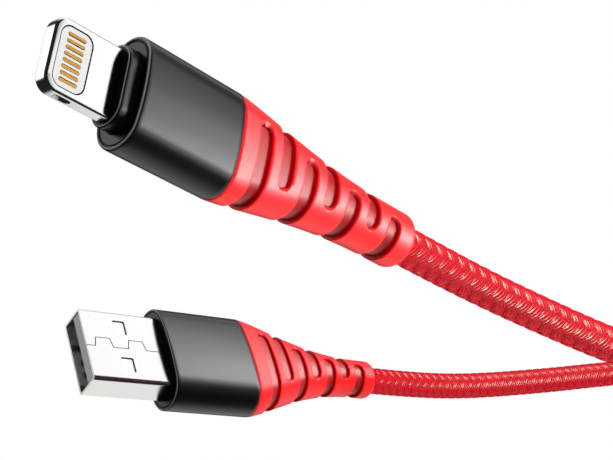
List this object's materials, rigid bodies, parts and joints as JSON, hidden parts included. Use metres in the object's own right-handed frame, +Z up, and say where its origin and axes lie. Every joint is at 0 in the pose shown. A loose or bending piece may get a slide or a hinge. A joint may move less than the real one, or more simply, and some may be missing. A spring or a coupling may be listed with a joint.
{
  "type": "charging cable",
  "caption": "Braided charging cable with a slim phone plug and a USB-A plug, slotted strain-relief boots, and its spare length wound in a tied coil.",
  "frame": {"origin": "the point where a peg bears on the cable: the inner side of the coil at its top", "axes": "+Z up as the cable hangs; the coil lies in the XZ plane; +X from the phone plug's side towards the USB-A plug's side; -Y is the side of the coil that the first layer faces"},
  "size_m": [0.0885, 0.0334, 0.1849],
  "materials": {
    "tab_metal": "polished",
    "plate_plastic": "satin",
    "contact_gold": "plated",
    "board_green": "solder mask",
    "chip_black": "moulded",
    "solder": "solder",
    "shield_steel": "tinned",
    "inner_mould": "moulded",
    "housing_black": "matte",
    "boot_red": "satin",
    "core_red": "glossy",
    "braid_red": "woven",
    "tie_black": "napped",
    "shell_steel": "polished",
    "tongue_plastic": "moulded",
    "wire_red": "satin",
    "wire_black": "satin",
    "wire_white": "satin",
    "wire_green": "satin"
  },
  "bodies": {
    "root": {"phone_tab_frame": "tab_metal", "phone_contact_plate_upper": "plate_plastic", "phone_contact_plate_lower": "plate_plastic", "phone_contacts_upper": "contact_gold", "phone_contacts_lower": "contact_gold", "phone_circuit_board": "board_green", "phone_chips": "chip_black", "phone_solder_joints": "solder", "phone_wire_red": "wire_red", "phone_wire_white": "wire_white", "phone_wire_green": "wire_green", "phone_wire_black": "wire_black", "phone_shield_upper": "shield_steel", "phone_shield_lower": "shield_steel", "phone_inner_mould": "inner_mould", "phone_crimp_ring": "shield_steel", "phone_collar": "housing_black", "phone_housing": "housing_black", "phone_boot": "boot_red", "phone_boot_core": "core_red", "phone_cord_end": "braid_red", "usb_shell": "shell_steel", "usb_tongue": "tongue_plastic", "usb_contacts_power": "contact_gold", "usb_contacts_data": "contact_gold", "usb_solder_joints": "solder", "usb_wire_red": "wire_red", "usb_wire_white": "wire_white", "usb_wire_green": "wire_green", "usb_wire_black": "wire_black", "usb_shield_upper": "shield_steel", "usb_shield_lower": "shield_steel", "usb_inner_mould": "inner_mould", "usb_crimp_ring": "shield_steel", "usb_housing": "housing_black", "usb_boot": "boot_red", "usb_boot_core": "core_red", "usb_cord_end": "braid_red", "cord_phone_run": "braid_red", "cord_coil": "braid_red", "cord_usb_run": "braid_red", "cord_tie": "tie_black"}
  },
  "joints": []
}
